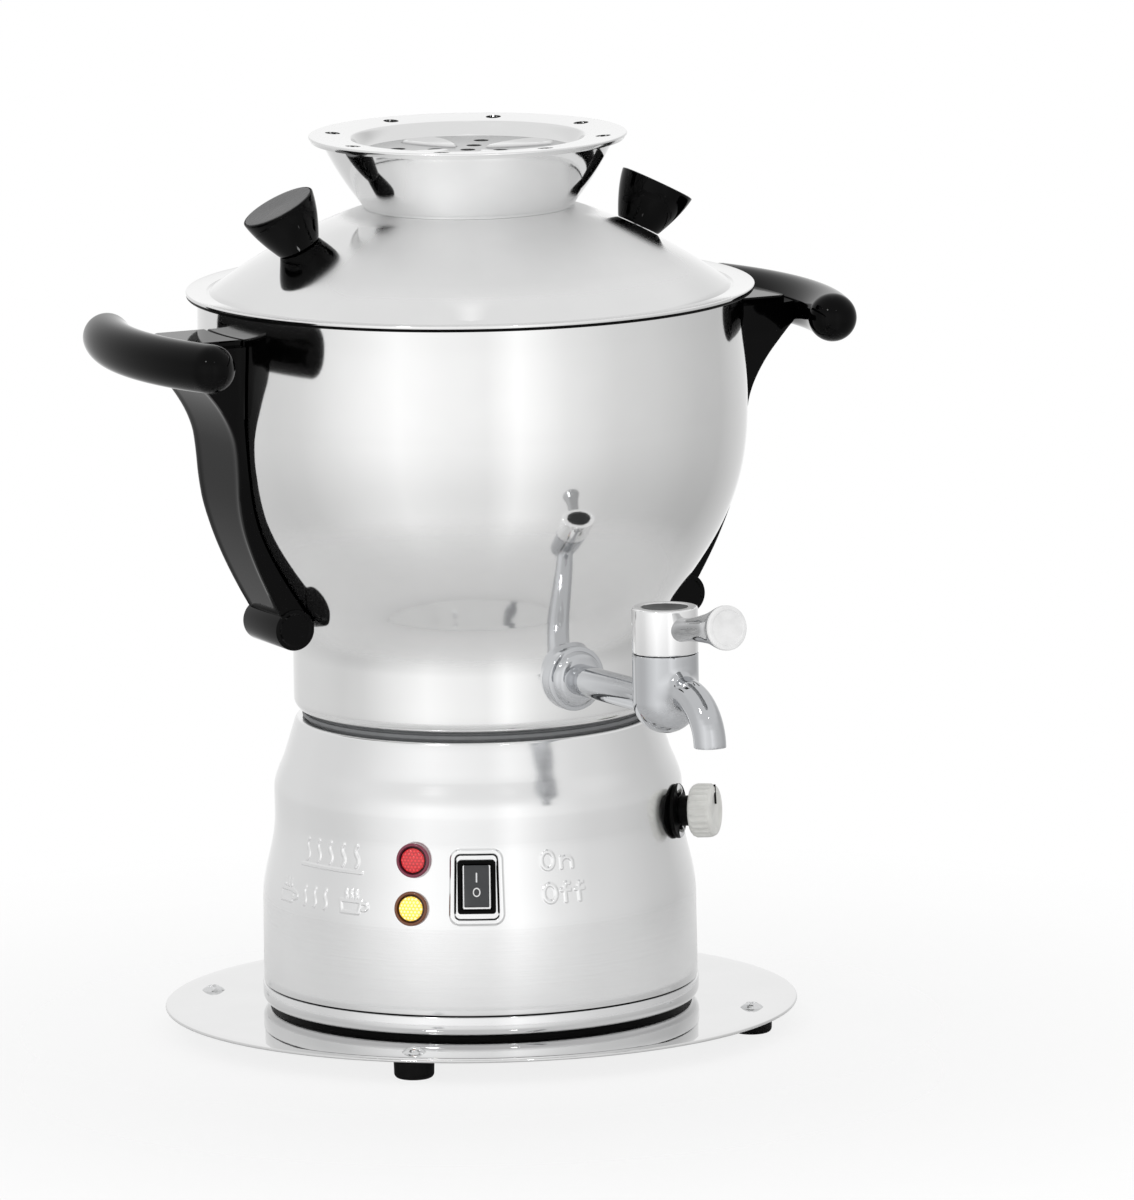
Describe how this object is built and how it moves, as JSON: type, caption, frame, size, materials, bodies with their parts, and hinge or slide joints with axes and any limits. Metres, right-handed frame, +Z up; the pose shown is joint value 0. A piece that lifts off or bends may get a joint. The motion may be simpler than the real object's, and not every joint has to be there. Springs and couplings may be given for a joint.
{
  "type": "electric samovar",
  "caption": "Polished electric samovar: bellied pot with side grips and a front tap, domed lid with a lift-off teapot stand, on a heater base and round drip plate.",
  "frame": {"origin": "on the pot's vertical axis, at the underside of the drip plate", "axes": "+Z up along the vertical axis, tap towards -Y, handles near +X and -X; the rubber feet reach 8.5 mm below the origin"},
  "size_m": [0.3058, 0.3144, 0.3563],
  "materials": {
    "plate_steel": "mirror polished",
    "trim_steel": "polished",
    "shell_steel": "polished",
    "pot_steel": "polished",
    "lid_steel": "polished",
    "stand_steel": "satin polished",
    "tap_chrome": "chrome plated",
    "cap_insert": "dark satin",
    "lever_white": "glossy",
    "screw_steel": "polished",
    "inner_steel": "plain",
    "black_gloss": "glossy",
    "black_matte": "satin",
    "black_rubber": "matte",
    "seal_grey": "satin",
    "rocker_grey": "satin",
    "red_lens": "glossy, lamp off",
    "amber_lens": "glossy, lamp on",
    "knob_white": "satin",
    "ceramic_white": "glazed",
    "bakelite": "satin",
    "brass": "machined",
    "element_steel": "heat tinted",
    "aluminium": "cast",
    "knob_cap_grey": "satin"
  },
  "bodies": {
    "samovar": {"base_plate": "plate_steel", "rubber_feet": "black_rubber", "foot_screws": "screw_steel", "spacer_ring": "black_matte", "base_pan": "trim_steel", "pan_screws": "screw_steel", "heater_shell": "shell_steel", "red_lamp_lens": "red_lens", "amber_lamp_lens": "amber_lens", "lamp_holders": "ceramic_white", "lamp_clips": "inner_steel", "switch_frame": "black_matte", "dial_plate": "black_matte", "thermostat_body": "bakelite", "thermostat_screws": "screw_steel", "power_inlet": "black_matte", "inlet_pins": "brass", "inlet_screws": "screw_steel", "terminal_block": "ceramic_white", "thermal_cutout": "bakelite", "heating_element": "element_steel", "heat_plate": "aluminium", "clamp_bridge": "inner_steel", "bridge_nuts": "inner_steel", "seal_ring": "seal_grey", "pot_foot": "pot_steel", "pot_body": "pot_steel", "pot_studs": "inner_steel", "tap_body": "tap_chrome", "tap_rosette": "tap_chrome", "tap_washers": "black_rubber", "tap_nut": "inner_steel", "left_bracket": "black_gloss", "right_bracket": "black_gloss", "left_grip": "black_gloss", "right_grip": "black_gloss", "bracket_screws": "screw_steel", "grip_screws": "screw_steel"},
    "rocker": {"switch_rocker": "rocker_grey"},
    "dial": {"thermostat_knob": "knob_white", "thermostat_shaft": "inner_steel"},
    "tap_handle": {"tap_stem": "brass", "tap_cap": "tap_chrome", "tap_lever": "tap_chrome", "lever_end_cap": "lever_white", "tap_cap_disc": "cap_insert", "tap_cap_screw": "screw_steel"},
    "lid": {"lid_dome": "lid_steel", "lid_locating_ring": "inner_steel", "lid_knobs": "black_gloss", "lid_knob_caps": "knob_cap_grey", "lid_knob_screws": "screw_steel"},
    "stand": {"stand_tray": "stand_steel", "stand_shell": "stand_steel", "stand_collar": "inner_steel"}
  },
  "joints": [
    {"name": "rocker_tilt", "type": "hinge", "parent": "samovar", "child": "rocker", "pos_m": [-0.04367, -0.07044, 0.0619], "axis": [0.8499, -0.527, 0], "range_deg": [0, 14]},
    {"name": "thermostat_turn", "type": "hinge", "parent": "samovar", "child": "dial", "pos_m": [0.0554, -0.05941, 0.08], "axis": [0.6812, -0.7305, 0.0482], "range_deg": [-230, 40]},
    {"name": "tap_turn", "type": "hinge", "parent": "samovar", "child": "tap_handle", "pos_m": [0, -0.142, 0.1408], "axis": [0, 0, 1], "range_deg": [-90, 0]},
    {"name": "lid_lift", "type": "slide", "parent": "samovar", "child": "lid", "axis": [0, 0, 1], "range_m": [0, 0.16]},
    {"name": "stand_lift", "type": "slide", "parent": "lid", "child": "stand", "axis": [0, 0, 1], "range_m": [0, 0.08]}
  ]
}
